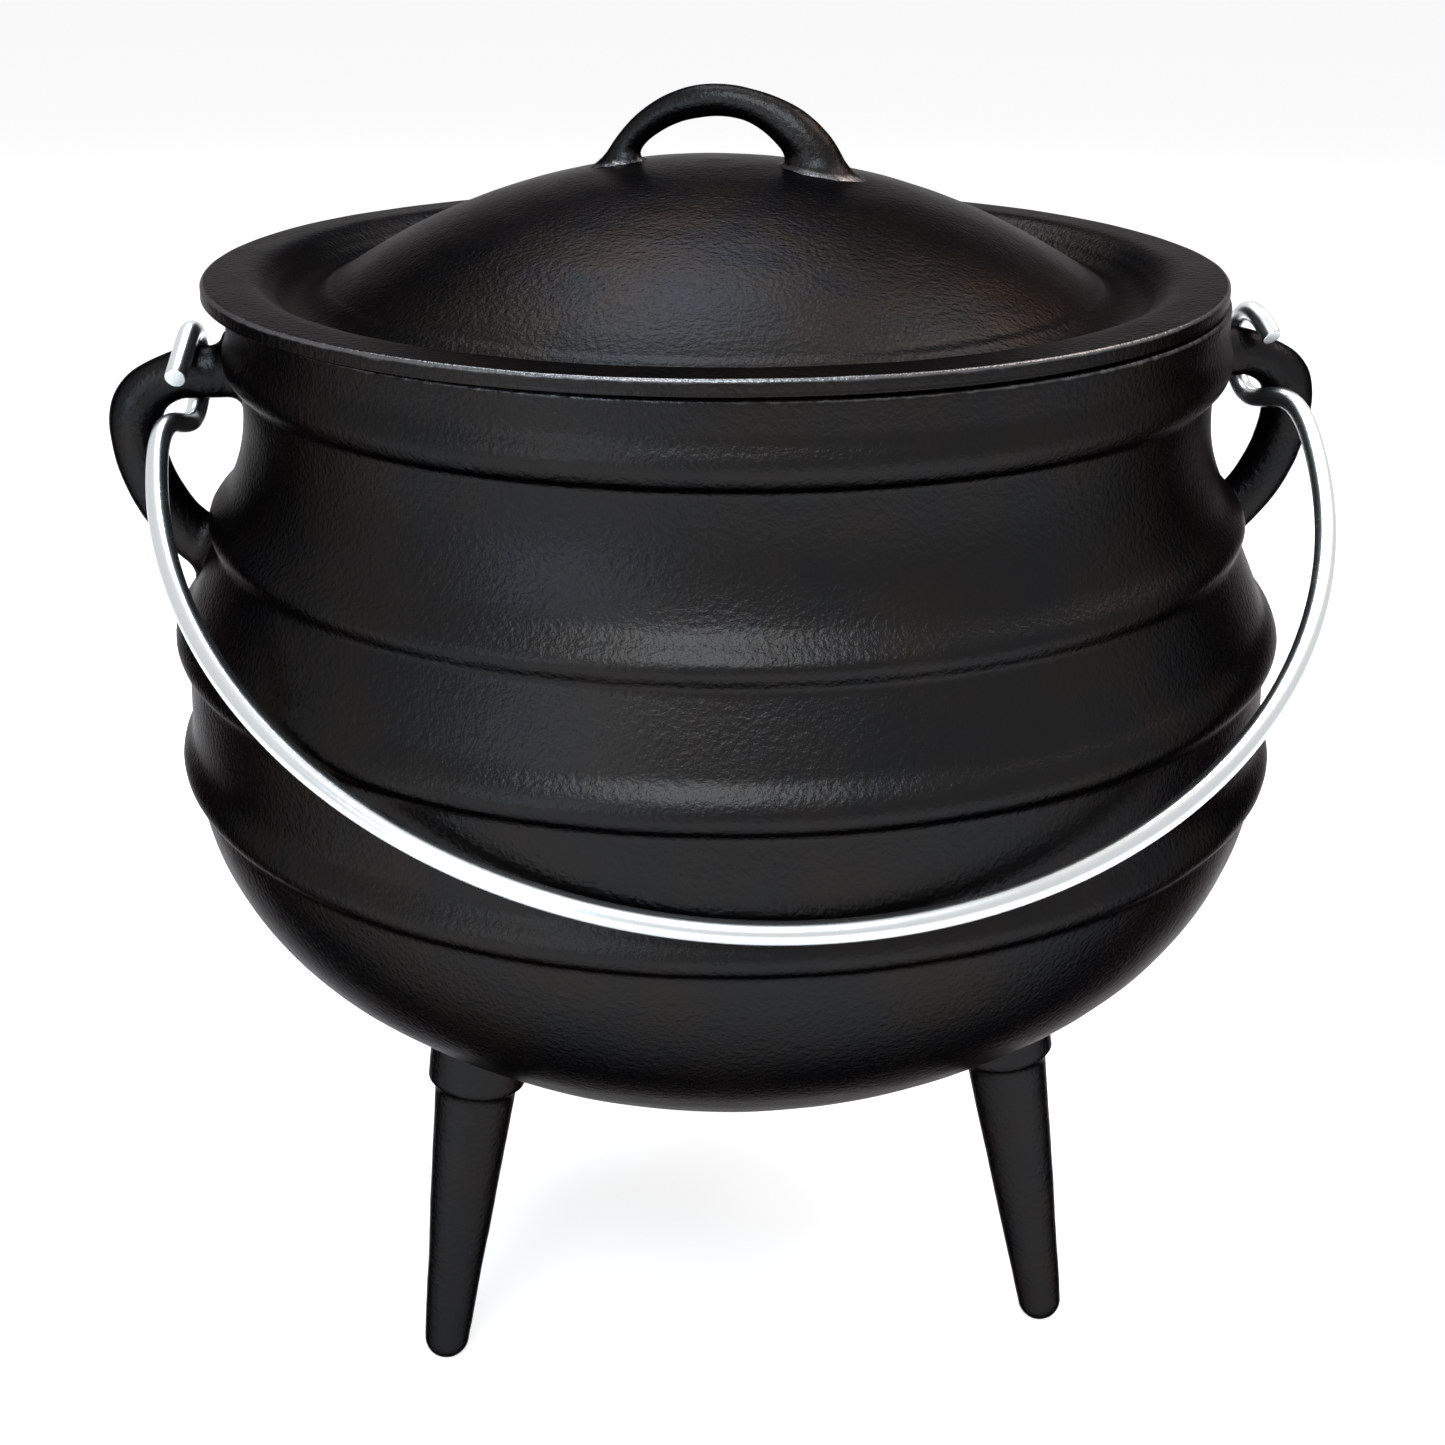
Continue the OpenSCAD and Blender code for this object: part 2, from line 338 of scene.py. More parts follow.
@dataclass
class Pot:
    """The pot: bowl, neck, collar, ribs, ears and legs in one casting."""

    belly_r: float = 167.0
    neck_r: float = 143.6
    collar_r: float = 146.5
    shoulder_r: float = 154.3
    barrel_r: float = 165.4
    wall: float = 5.5
    rim_z: float = 340.5
    rim_round: float = 1.6
    collar_foot: float = 3.0
    flare_z: float = 310.0
    flare_past: float = 1.0
    bowl_z: float = 90.0
    bowl_side_r: float = 79.0
    rib_half: float = 5.0
    rib_zs: tuple[float, ...] = (322.0, 276.3, 242.3, 204.2)
    rib_rs: tuple[float, ...] = (148.2, 156.3, 168.8, 170.1)
    rib_up: float = 9.5
    rib_down: float = 5.0
    rib_wear: float = 0.25
    rib_wear_full: float = 3.0
    rim_wear: float = 0.9
    rim_wear_h: float = 3.2
    rim_top_wear: float = 0.7
    ear_bar_r: float = 7.85
    ear_z: float = 316.0
    ear_reach: tuple[float, ...] = (175.6, 176.5)
    ear_droop: tuple[float, ...] = (1.6, 2.2)
    ear_droop_angle: float = 66.0
    ear_droop_half: float = 44.0
    ear_corner_r: float = 16.0
    ear_return_r: float = 48.0
    ear_sink: float = 4.0
    ear_fillet: float = 4.5
    ear_step: float = 1.2
    ear_sides: int = 28
    foot_reach: tuple[float, ...] = (113.0, 117.0, 115.0)
    leg_splay: tuple[float, ...] = (9.5, 10.6, 10.0)
    leg_angles: tuple[float, ...] = (-60.0, 60.0, 180.0)
    foot_r: float = 7.5
    foot_flat: float = 1.2
    leg_top_r: float = 13.2
    leg_collar_out: float = 2.3
    leg_collar_z: float = 100.3
    leg_spare: float = 50.0
    leg_fillet: float = 3.0
    leg_flare: float = 1.4
    leg_search: float = 200.0
    leg_steps: int = 44
    steps: int = 220
    fine: float = 0.8
    inner_step: float = 6.0
    plain_under: float = 14.0
    plain_keep: int = 5
    wall_waves: tuple[Point, ...] = ((0.5, 70.0), (0.3, 17.0))
    ear_waves: tuple[Point, ...] = ((0.2, 9.0), (0.15, 4.0))
    leg_waves: tuple[Point, ...] = ((0.5, 22.0), (0.2, 6.0))
    shell: Shell = field(default_factory=Shell)

    def wall_line(self, inset: float) -> list[Point]:
        """Gives the wall's line without ribs, from the neck down to the axis, drawn in by an inset."""
        drop = self.flare_z - self.rib_zs[1]
        out = self.shoulder_r - self.neck_r + self.flare_past
        flare_r = (drop**2 + out**2) / (2 * out)
        flare_end = math.degrees(math.asin(drop / flare_r))
        side = (self.belly_r - self.bowl_side_r, self.rib_zs[3])
        height = side[1] - self.bowl_z
        bottom_r = (side[0] ** 2 + height**2 - self.bowl_side_r**2) / (2 * (height - self.bowl_side_r))
        bottom_z = self.bowl_z + bottom_r
        join = math.degrees(math.atan2(bottom_z - side[1], side[0]))
        return [
            *arc((self.neck_r + flare_r, self.flare_z), flare_r + inset, 180, 180 + flare_end),
            (self.shoulder_r - inset, self.rib_zs[1] - self.rib_half),
            (self.barrel_r - inset, self.rib_zs[2] + self.rib_half),
            (self.barrel_r - inset, self.rib_zs[2] - self.rib_half),
            *arc(side, self.bowl_side_r - inset, 0, -join),
            *arc((0, bottom_z), bottom_r - inset, -join, -90),
        ]

    def with_ribs(self, line: list[Point]) -> tuple[list[Point], list[float]]:
        """Raises the ribs on a line, with a long slope on their upper side and an undercut one below.

        Args:
            line: Evenly spaced points of the outer wall, from the top down.

        Returns:
            The raised points, and how much each lies on a rib.
        """
        proud = []
        for rib_z, rib_r in zip(self.rib_zs, self.rib_rs):
            foot = min(line, key=lambda p: abs(p[1] - rib_z))
            proud.append(rib_r - foot[0])
        out, crest = [], []
        for k, (r, z) in enumerate(line):
            ahead, behind = line[min(k + 1, len(line) - 1)], line[max(k - 1, 0)]
            along = Vector((ahead[0] - behind[0], ahead[1] - behind[1])).normalized()
            lift = 0.0
            for rib_z, height in zip(self.rib_zs, proud):
                if z > rib_z:
                    share = min(1.0, (z - rib_z) / self.rib_up)
                    lift = max(lift, height * (1 + math.cos(math.pi * share)) / 2)
                else:
                    share = min(1.0, (rib_z - z) / self.rib_down)
                    lift = max(lift, height * math.sqrt(1 - share**2))
            out.append((r - along.y * lift, z + along.x * lift))
            crest.append(self.rib_wear * min(1.0, lift / self.rib_wear_full))
        return out, crest

    def bowl(self) -> None:
        """Spins the wall, with its collar, rim and ribs outside and its plain inside."""
        round_z = self.rim_z - self.rim_round
        outer = [
            (self.collar_r, round_z),
            (self.collar_r, self.rib_zs[0] + self.collar_foot),
            (self.neck_r, self.rib_zs[0] - self.rib_half),
        ]
        outer = softened(resampled(outer + self.wall_line(0), self.fine), 4)
        outer, crest = self.with_ribs(outer)
        outer = softened(outer, 2)
        keep = set(thinned(outer, self.rib_zs[3] - self.plain_under, self.plain_keep))
        crest = [
            max(c, self.rim_wear * hump(p[1], self.rim_z, self.rim_wear_h))
            for c, p in zip(crest, outer)
            if p in keep
        ]
        outer = [p for p in outer if p in keep]
        inner_r = self.neck_r - self.wall
        inner = [(inner_r, round_z), *self.wall_line(self.wall)]
        inner = softened(resampled(inner, self.inner_step), 2)[::-1]
        rim = [
            *arc((inner_r + self.rim_round, round_z), self.rim_round, 180, 90, 22.5),
            *arc((self.collar_r - self.rim_round, round_z), self.rim_round, 90, 0, 22.5),
        ]
        wear = [0.0] * len(inner) + [self.rim_top_wear] * (len(rim) - 2) + crest
        verts = self.shell.revolve(inner + rim[1:-1] + outer, self.steps, wear)
        self.shell.roughen(verts, self.wall_waves)

    def ears(self, tree: BVHTree) -> None:
        """Sweeps both ears and settles their roots on the wall."""
        root = self.neck_r - self.wall / 2
        for side, reach, droop in zip((-1, 1), self.ear_reach, self.ear_droop):
            corner = (reach - self.ear_corner_r, self.ear_z - self.ear_corner_r)
            across = reach - self.shoulder_r + self.ear_sink
            turn = math.degrees(math.acos(1 - across / self.ear_return_r))
            line = [(root, self.ear_z), (corner[0], self.ear_z)]
            line += arc(corner, self.ear_corner_r, 90, 0, 5)[1:]
            line += arc((reach - self.ear_return_r, corner[1]), self.ear_return_r, 0, -turn, 2)[1:]
            line = resampled(line, self.ear_step)
            spine, radii = [], []
            for x, z in line:
                round_corner = math.degrees(math.atan2(z - corner[1], x - corner[0]))
                share = hump(round_corner, self.ear_droop_angle, self.ear_droop_half)
                thin = droop / 2 * share if z > corner[1] else 0.0
                inwards = Vector((corner[0] - x, 0, corner[1] - z))
                inwards = unit(inwards) if inwards.length > 1 else inwards
                place = Vector((x, 0, z)) + inwards * thin
                spine.append(Vector((side * place.x, 0, place.z)))
                radii.append(self.ear_bar_r - thin)
            verts = self.shell.sweep(spine, radii, self.ear_sides)
            settle(verts, spine, tree, self.ear_fillet)
            self.shell.roughen(verts, self.ear_waves)

    def legs(self, tree: BVHTree) -> None:
        """Spins the three legs, leans them out, cuts the feet flat and seats the tops in the bowl."""
        foot_z = self.foot_r - self.foot_flat
        collar_r = self.leg_top_r + self.leg_collar_out
        for reach, splay, angle in zip(self.foot_reach, self.leg_splay, self.leg_angles):
            lean = math.radians(splay)
            collar_at = (self.leg_collar_z - foot_z) / math.cos(lean)
            side = [
                (self.foot_r, 0),
                (self.leg_top_r, collar_at - self.leg_collar_out),
                (collar_r, collar_at),
            ]
            top = collar_at + self.leg_spare
            outline = arc((0, 0), self.foot_r, -90, 0, 10)
            outline += softened(resampled(side, 1.6), 1)[1:]
            outline += resampled([(collar_r, collar_at), (collar_r, top)], 1.5)[1:] + [(0, top)]
            verts = self.shell.revolve(outline, self.leg_steps)
            place = (
                Matrix.Rotation(math.radians(angle), 4, "Z")
                @ Matrix.Translation((0, -reach, foot_z))
                @ Matrix.Rotation(-lean, 4, "X")
            )
            bmesh.ops.transform(self.shell.bm, matrix=place, verts=verts)
            axis = place.to_3x3() @ Vector((0, 0, 1))
            self.shell.roughen(verts, self.leg_waves)
            for vert in verts:
                vert.co.z = max(0.0, vert.co.z)
                near, normal, _, gap = tree.find_nearest(vert.co, self.leg_fillet)
                if near is not None and (vert.co - near).dot(normal) > 0:
                    out = vert.co - (place.translation + axis * (vert.co - place.translation).dot(axis))
                    vert.co += unit(out) * self.leg_flare * (1 - gap / self.leg_fillet) ** 2
                hit, _, _, _ = tree.ray_cast(vert.co - axis * self.leg_search, axis)
                if hit is not None and (vert.co - hit).dot(axis) > self.wall / 2:
                    vert.co = hit + axis * self.wall / 2

    def build(self) -> bpy.types.Object:
        """Builds the casting.

        Returns:
            The finished object.
        """
        self.bowl()
        tree = self.shell.tree()
        self.ears(tree)
        self.legs(tree)
        return self.shell.finish("pot_casting")


@dataclass
class Lid:
    """The lid: rolled lip, dished channel, dome and bowed handle in one casting."""

    pot: Pot
    over_collar: float = 2.3
    lip_h: float = 5.0
    lip_round: float = 1.4
    plate: float = 4.6
    dome_arc_r: float = 206.0
    dome_h: float = 29.9
    lip_w: float = 14.0
    roll_r: float = 5.0
    channel_depth: float = 8.3
    channel_passes: int = 9
    shift: float = 3.6
    turn: float = -20.0
    spigot_play: float = 4.0
    spigot_draft: float = 2.0
    seat_gap: float = 0.3
    seat_h: float = 1.0
    edge_wear_in: float = 0.4
    edge_wear_half: float = 2.2
    handle_bar_r: float = 4.65
    handle_arc_r: float = 35.0
    handle_ends: Point = (162.0, 18.0)
    handle_top: float = 396.2
    handle_off: float = 0.7
    handle_foot_r: tuple[float, ...] = (3.9, 6.9)
    handle_swell_from: float = 0.2
    handle_swell_over: float = 0.65
    handle_fillet: float = 5.0
    handle_wear: float = 0.8
    handle_wear_h: float = 3.0
    handle_sides: int = 28
    fine: float = 1.2
    plain: float = 2.5
    plate_waves: tuple[Point, ...] = ((0.5, 60.0), (0.2, 15.0))
    handle_waves: tuple[Point, ...] = ((0.25, 8.0), (0.1, 3.0))
    steps: int = 220
    shell: Shell = field(default_factory=Shell)

    def plate_line(self) -> tuple[list[Point], list[float]]:
        """Gives the closed outline of the lid without its handle, and how worn each of its points is."""
        under = self.pot.rim_z + self.seat_gap
        top = under + self.lip_h
        outer = self.pot.collar_r + self.over_collar
        roll = outer - self.lip_w
        channel_z = top - self.channel_depth
        plate_z = channel_z - self.plate
        dome_z = top + self.dome_h - self.dome_arc_r
        half = math.degrees(math.acos((channel_z - dome_z) / self.dome_arc_r))
        hollow = math.degrees(math.acos((plate_z - dome_z) / (self.dome_arc_r - self.plate)))
        slope = math.pi / 4
        slope_end = (roll - self.roll_r * math.sin(slope), top - self.roll_r * (1 - math.cos(slope)))
        channel_r = slope_end[0] - (slope_end[1] - channel_z)
        spigot = self.pot.neck_r - self.pot.wall - self.spigot_play
        upper = arc((0, dome_z), self.dome_arc_r, 90, 90 - half)
        upper += [(channel_r, channel_z), *arc((roll, top - self.roll_r), self.roll_r, 135, 90)]
        upper += [(outer - self.lip_round, top)]
        upper = softened(resampled(upper, self.fine), self.channel_passes)
        edge = arc((outer - self.lip_round, top - self.lip_round), self.lip_round, 90, 0, 15)[1:]
        edge += arc((outer - self.lip_round, under + self.lip_round), self.lip_round, 0, -90, 15)
        lower = [edge[-1], (spigot, under), (spigot - self.spigot_draft, plate_z)]
        lower += arc((0, dome_z), self.dome_arc_r - self.plate, 90 - hollow, 90)
        line = upper + edge + softened(resampled(lower, self.plain), 1)[1:]
        rubbed = (outer - self.edge_wear_in, top - self.edge_wear_in)
        worn = [hump(math.dist(p, rubbed), 0, self.edge_wear_half) for p in line]
        return line, worn

    def handle(self, tree: BVHTree) -> None:
        """Sweeps the bowed bar and settles its feet, one thin and one thick, on the dome."""
        arc_z = self.handle_top - self.handle_bar_r - self.handle_arc_r
        line = arc((self.handle_off, arc_z), self.handle_arc_r, *self.handle_ends, 2.5)
        spine = [Vector((x, 0, z)) for x, z in line]
        radii = []
        for x, _ in line:
            share = (x - self.handle_off) / self.handle_arc_r
            foot = self.handle_foot_r[0 if share < 0 else 1]
            swell = smooth_step((abs(share) - self.handle_swell_from) / self.handle_swell_over)
            radii.append(self.handle_bar_r + (foot - self.handle_bar_r) * swell)
        verts = self.shell.sweep(spine, radii, self.handle_sides)
        settle(verts, spine, tree, self.handle_fillet)
        self.shell.roughen(verts, self.handle_waves)
        for vert in verts:
            near, normal, _, gap = tree.find_nearest(vert.co)
            vert[self.shell.wear] = self.handle_wear * smooth_step(1 - gap / self.handle_wear_h)
            depth = (near - vert.co).dot(normal)
            if depth > self.plate / 2:
                vert.co = near - normal * self.plate / 2

    def build(self) -> bpy.types.Object:
        """Builds the casting and puts it on the pot.

        Returns:
            The finished object.
        """
        line, worn = self.plate_line()
        verts = self.shell.revolve(line, self.steps, worn)
        verts = [v for v in verts if v.co.z > self.pot.rim_z + self.seat_gap + self.seat_h]
        self.shell.roughen(verts, self.plate_waves)
        self.handle(self.shell.tree())
        place = Matrix.Translation((-self.shift, 0, 0)) @ Matrix.Rotation(math.radians(self.turn), 4, "Z")
        bmesh.ops.transform(self.shell.bm, matrix=place, verts=self.shell.bm.verts)
        return self.shell.finish("lid_casting")


@dataclass
class Bail:
    """The wire bail, with an eye round each ear's bar and clear of it. Pairs are left and right."""

    pot: Pot
    wire_r: float = 3.1
    arc_r: float = 169.3
    arc_drop: float = 28.8
    shift: float = 3.5
    bar_r: float = 8.0
    eye_slack: float = 2.1
    seat_gap: float = 0.7
    eye_x: tuple[float, ...] = (160.4, 158.5)
    eye_travel: float = 2.8
    eye_rise: tuple[float, ...] = (0.8, 2.0)
    eye_start: float = 55.0
    eye_turn: tuple[float, ...] = (264.0, 280.0)
    eye_tail: tuple[float, ...] = (18.0, 4.0)
    eye_inmost: float = 0.68
    rest_gap: float = 0.2
    arc_leave: float = 3.0
    arc_pull: float = 0.86
    eye_pull: float = 0.36
    burr: float = 0.45
    arc_step: float = 1.5
    bend_parts: int = 24
    eye_parts: int = 44
    tail_parts: int = 4
    sides: int = 24
    shell: Shell = field(default_factory=Shell)

    @property
    def eye_r(self) -> float:
        """Radius of the eye's turn, to the middle of the wire."""
        return self.bar_r + self.eye_slack + self.wire_r

    def eye_point(self, t: float, side: int) -> Vector:
        """Gives a point of the turn round the bar, from under it at 0 to in front of it at 1."""
        a = math.radians(self.eye_start + (self.eye_turn[side] - self.eye_start) * t)
        if t < self.eye_inmost:
            out = self.eye_travel * (1 - t / self.eye_inmost) ** 2
        else:
            out = self.eye_rise[side] * ((t - self.eye_inmost) / (1 - self.eye_inmost)) ** 2
        return Vector((self.eye_x[side] + out, self.eye_r * math.cos(a), self.eye_r * math.sin(a)))

    def half(self, side: int) -> list[Vector]:
        """Gives the centre line from the crown to one cut end, in the bail's own plane."""
        small = 1e-4
        leave = math.radians(self.arc_leave)
        tip = Vector((self.arc_r * math.cos(leave), self.arc_drop + self.arc_r * math.sin(leave), 0))
        tip_dir = Vector((math.sin(leave), -math.cos(leave), 0))
        start = self.eye_point(0, side)
        start_dir = unit(self.eye_point(small, side) - start)
        end_dir = unit(self.eye_point(1, side) - self.eye_point(1 - small, side))
        height = tip.y - start.y
        corners = [
            tip,
            tip + self.arc_pull * height * tip_dir,
            start - self.eye_pull * height * start_dir,
            start,
        ]
        end, tail = self.eye_point(1, side), self.eye_tail[side]
        line = arc((0, self.arc_drop), self.arc_r, 90, self.arc_leave, self.arc_step)
        out = [Vector((x, s, 0)) for x, s in line]
        out += [bezier(corners, k / self.bend_parts) for k in range(1, self.bend_parts + 1)]
        out += [self.eye_point(k / self.eye_parts, side) for k in range(1, self.eye_parts + 1)]
        out += [end + end_dir * tail * k / self.tail_parts for k in range(1, self.tail_parts + 1)]
        return out

    def build(self) -> bpy.types.Object:
        """Builds the wire, dulls the edges of its cut ends and leans it on the belly.

        Returns:
            The finished object.
        """
        left, right = self.half(0), self.half(1)
        path = [Vector((-p.x, p.y, p.z)) for p in left[:0:-1]] + right
        self.shell.sweep(path, [self.wire_r] * len(path), self.sides)
        ends = [f for f in self.shell.bm.faces if len(f.verts) > QUAD]
        bmesh.ops.bevel(
            self.shell.bm,
            geom=list({e for f in ends for e in f.edges}),
            offset=self.burr,
            offset_type="OFFSET",
            segments=2,
            profile=0.5,
            affect="EDGES",
            material=-1,
        )
        lean = math.asin((self.pot.belly_r + self.wire_r + self.rest_gap) / (self.arc_drop + self.arc_r))
        axis_z = self.pot.ear_z - self.eye_slack + self.seat_gap
        place = Matrix.Translation((self.shift, 0, axis_z)) @ Matrix.Rotation(-math.pi / 2 - lean, 4, "X")
        bmesh.ops.transform(self.shell.bm, matrix=place, verts=self.shell.bm.verts)
        return self.shell.finish("bail_wire")


# Finishes


class Value:
    """A node socket that Python's operators work on by adding Math nodes."""

    def __init__(self, owner: "Nodes", socket: bpy.types.NodeSocket) -> None:
        """Wraps a socket.

        Args:
            owner: The node tree that the socket's node belongs to.
            socket: The output socket.
        """
        self.owner = owner
        self.socket = socket

    def maths(self, operation: str, other: "Value | float") -> "Value":
        """Adds a Math node.

        Args:
            operation: Name of the Math node's operation.
            other: The second operand.

        Returns:
            The result.
        """
        return self.owner.node("ShaderNodeMath", {"operation": operation}, {0: self, 1: other})

    def __add__(self, other: "Value | float") -> "Value":
        """Adds."""
        return self.maths("ADD", other)

    __radd__ = __add__

    def __mul__(self, other: "Value | float") -> "Value":
        """Multiplies."""
        return self.maths("MULTIPLY", other)

    __rmul__ = __mul__

    def __sub__(self, other: "Value | float") -> "Value":
        """Subtracts."""
        return self.maths("SUBTRACT", other)


class Nodes:
    """An empty node tree to which nodes are added one after another."""

    def __init__(self, tree: bpy.types.NodeTree, output: str) -> None:
        """Empties a tree and gives it its output node.

        Args:
            tree: The node tree of a material or a world.
            output: Type of the output node.
        """
        self.tree = tree
        self.tree.nodes.clear()
        self.output = self.tree.nodes.new(output)

    def node(
        self, kind: str, settings: dict | None = None, sockets: dict | None = None, out: int | str = 0
    ) -> Value:
        """Adds any node.

        Args:
            kind: The node's type.
            settings: Its properties.
            sockets: Values or links of its input sockets, by name or number.
            out: Name or number of the output socket to give back.

        Returns:
            The wrapped output socket.
        """
        made = self.tree.nodes.new(kind)
        for key, value in (settings or {}).items():
            setattr(made, key, value)
        for key, value in (sockets or {}).items():
            if isinstance(value, Value):
                self.tree.links.new(value.socket, made.inputs[key])
            elif isinstance(value, tuple) and made.inputs[key].type == "RGBA":
                made.inputs[key].default_value = (*value, 1)
            else:
                made.inputs[key].default_value = value
        return Value(self, made.outputs[out])

    def seen(self) -> Value:
        """Gives 1 on rays from the camera, off gloss and through glass, and 0 on the rest."""
        rays = ("Is Camera Ray", "Is Glossy Ray", "Is Transmission Ray")
        straight, gloss, glass = (self.node("ShaderNodeLightPath", out=ray) for ray in rays)
        return straight.maths("MAXIMUM", gloss).maths("MAXIMUM", glass)

    def surface(self, shader: Value) -> None:
        """Joins a shader to the output."""
        self.tree.links.new(shader.socket, self.output.inputs["Surface"])


class Finish(Nodes):
    """A node material with patterns that sit still on the piece."""

    def __init__(self, name: str) -> None:
        """Starts a material.

        Args:
            name: Name of the material.
        """
        self.material = bpy.data.materials.new(name)
        self.material.use_nodes = True
        super().__init__(self.material.node_tree, "ShaderNodeOutputMaterial")

    def place(self) -> Value:
        """Gives Object coordinates."""
        return self.node("ShaderNodeTexCoord", out="Object")

    def noise(self, where: Value, scale: float, detail: float = 2.0, rough: float = 0.5) -> Value:
        """Gives cloudy noise from 0 to 1, with a pitch of about 1 / scale metres."""
        sockets = {"Vector": where, "Scale": scale, "Detail": detail, "Roughness": rough}
        return self.node("ShaderNodeTexNoise", {}, sockets, "Fac")

    def ramp(self, value: Value, low: float, high: float) -> Value:
        """Gives 0 below low, 1 above high, and a smooth rise between."""
        settings = {"interpolation_type": "SMOOTHSTEP"}
        return self.node("ShaderNodeMapRange", settings, {"Value": value, "From Min": low, "From Max": high})

    def blend(self, share: Value, a: Value | Colour, b: Value | Colour) -> Value:
        """Mixes two colours by a share."""
        sockets = {"Factor": share, 6: a, 7: b}
        return self.node("ShaderNodeMix", {"data_type": "RGBA"}, sockets, 2)

    def wear(self) -> Value:
        """Gives the mesh's own wear, painted when it was built."""
        return self.node("ShaderNodeAttribute", {"attribute_name": "wear"}, out="Fac")

    def bump(self, height: Value, distance: float) -> Value:
        """Turns a height into a bent normal."""
        return self.node("ShaderNodeBump", {}, {"Height": height, "Distance": distance, "Strength": 1.0})

    def shade(self, **sockets: Value | float | Colour) -> bpy.types.Material:
        """Feeds the shader and joins it to the output.

        Args:
            sockets: The shader's sockets, with underscores for spaces.

        Returns:
            The material.
        """
        named = {key.replace("_", " "): value for key, value in sockets.items()}
        self.surface(self.node("ShaderNodeBsdfPrincipled", {}, named))
        return self.material


@dataclass(frozen=True)
class CastIron:
    """Black cast iron with the fine grain of the moulding sand, seasoned to a satin gloss."""

    name: str
    black: Colour = (0.015, 0.0155, 0.0165)
    brown: Colour = (0.018, 0.0165, 0.0155)
    worn: Colour = (0.12, 0.12, 0.125)
    tint: Colour = (0.32, 0.31, 0.31)
    grain: float = 640.0
    grain_depth: float = 0.0003
    clouds: float = 24.0
    specks: float = 260.0
    brown_range: Point = (0.35, 0.65)
    worn_range: Point = (0.72, 1.15)
    gloss: float = 0.25
    cloud_dull: float = 0.14
    worn_polish: float = 0.05

    def build(self) -> bpy.types.Material:
        """Makes the material.

        Returns:
            The material.
        """
        f = Finish(self.name)
        where = f.place()
        grain = f.noise(where, self.grain, 3.0, 0.6)
        cloud = f.noise(where, self.clouds, 4.0, 0.6)
        speck = f.noise(where, self.specks, 2.0)
        worn = f.ramp(f.wear() + 0.5 * speck, *self.worn_range)
        skin = f.blend(f.ramp(cloud, *self.brown_range), self.black, self.brown)
        return f.shade(
            Base_Color=f.blend(worn, skin, self.worn),
            Metallic=1.0,
            Specular_Tint=self.tint,
            Roughness=self.gloss + self.cloud_dull * cloud - self.worn_polish * worn,
            Normal=f.bump(grain, self.grain_depth),
        )


@dataclass(frozen=True)
class BrightZinc:
    """Bright zinc-plated wire with faint drawing lines."""

    name: str
    colour: Colour = (0.62, 0.64, 0.65)
    lines: float = 900.0
    line_depth: float = 0.00002
    clouds: float = 60.0
    gloss: float = 0.18
    cloud_dull: float = 0.1
    line_dull: float = 0.05

    def build(self) -> bpy.types.Material:
        """Makes the material.

        Returns:
            The material.
        """
        f = Finish(self.name)
        where = f.place()
        fine = f.noise(where, self.lines, 2.0)
        cloud = f.noise(where, self.clouds, 3.0)
        return f.shade(
            Base_Color=self.colour,
            Metallic=1.0,
            Roughness=self.gloss + self.cloud_dull * cloud + self.line_dull * fine,
            Normal=f.bump(fine, self.line_depth),
        )


# Studio


@dataclass(frozen=True)
class Lamp:
    """A square soft lamp that faces the middle of the pot."""

    name: str
    azimuth: float
    elevation: float
    side: float
    power: float
    colour: Colour
    distance: float = 1.5
    aim_z: float = 0.25

    def build(self) -> bpy.types.Object:
        """Hangs the lamp.

        Returns:
            The lamp.
        """
        data = bpy.data.lights.new(self.name, "AREA")
        data.size = self.side
        data.energy = self.power
        data.color = self.colour
        lamp = bpy.data.objects.new(self.name, data)
        bpy.context.scene.collection.objects.link(lamp)
        turn, rise = math.radians(self.azimuth), math.radians(self.elevation)
        way = Vector((math.sin(turn) * math.cos(rise), -math.cos(turn) * math.cos(rise), math.sin(rise)))
        middle = Vector((0, 0, self.aim_z))
        face = (-way).to_track_quat("-Z", "Y").to_matrix().to_4x4()
        lamp.matrix_world = Matrix.Translation(middle + way * self.distance) @ face
        return lamp


